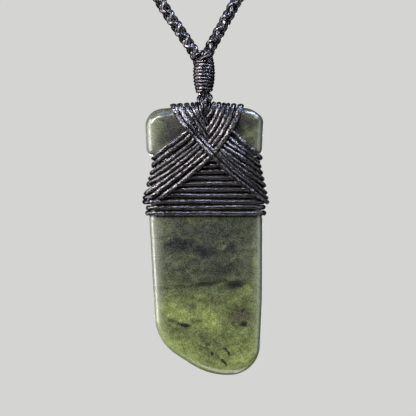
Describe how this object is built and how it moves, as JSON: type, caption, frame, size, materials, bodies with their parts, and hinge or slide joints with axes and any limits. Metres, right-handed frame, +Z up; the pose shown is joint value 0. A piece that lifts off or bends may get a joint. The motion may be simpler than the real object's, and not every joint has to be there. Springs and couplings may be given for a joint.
{
  "type": "greenstone adze pendant",
  "caption": "Flat nephrite adze pendant, lashed with waxed thread at its waist and hung from a whipped, braided neck cord.",
  "frame": {"origin": "the nape: middle of the braided cord behind the neck, where the necklace hangs", "axes": "+Z up, -Y the front of the pendant, +X to the right of someone who looks at its front"},
  "size_m": [0.1622, 0.1469, 0.2601],
  "materials": {
    "greenstone": "polished translucent nephrite, mottled",
    "waxed_thread": "waxed twisted thread",
    "braided_cord": "round four-strand braid of waxed thread"
  },
  "bodies": {
    "root": {"stone": "greenstone", "waist_wraps": "waxed_thread", "cross_lashing": "waxed_thread", "hanging_loop": "waxed_thread", "neck_whipping": "waxed_thread", "braided_cord": "braided_cord"}
  },
  "joints": []
}
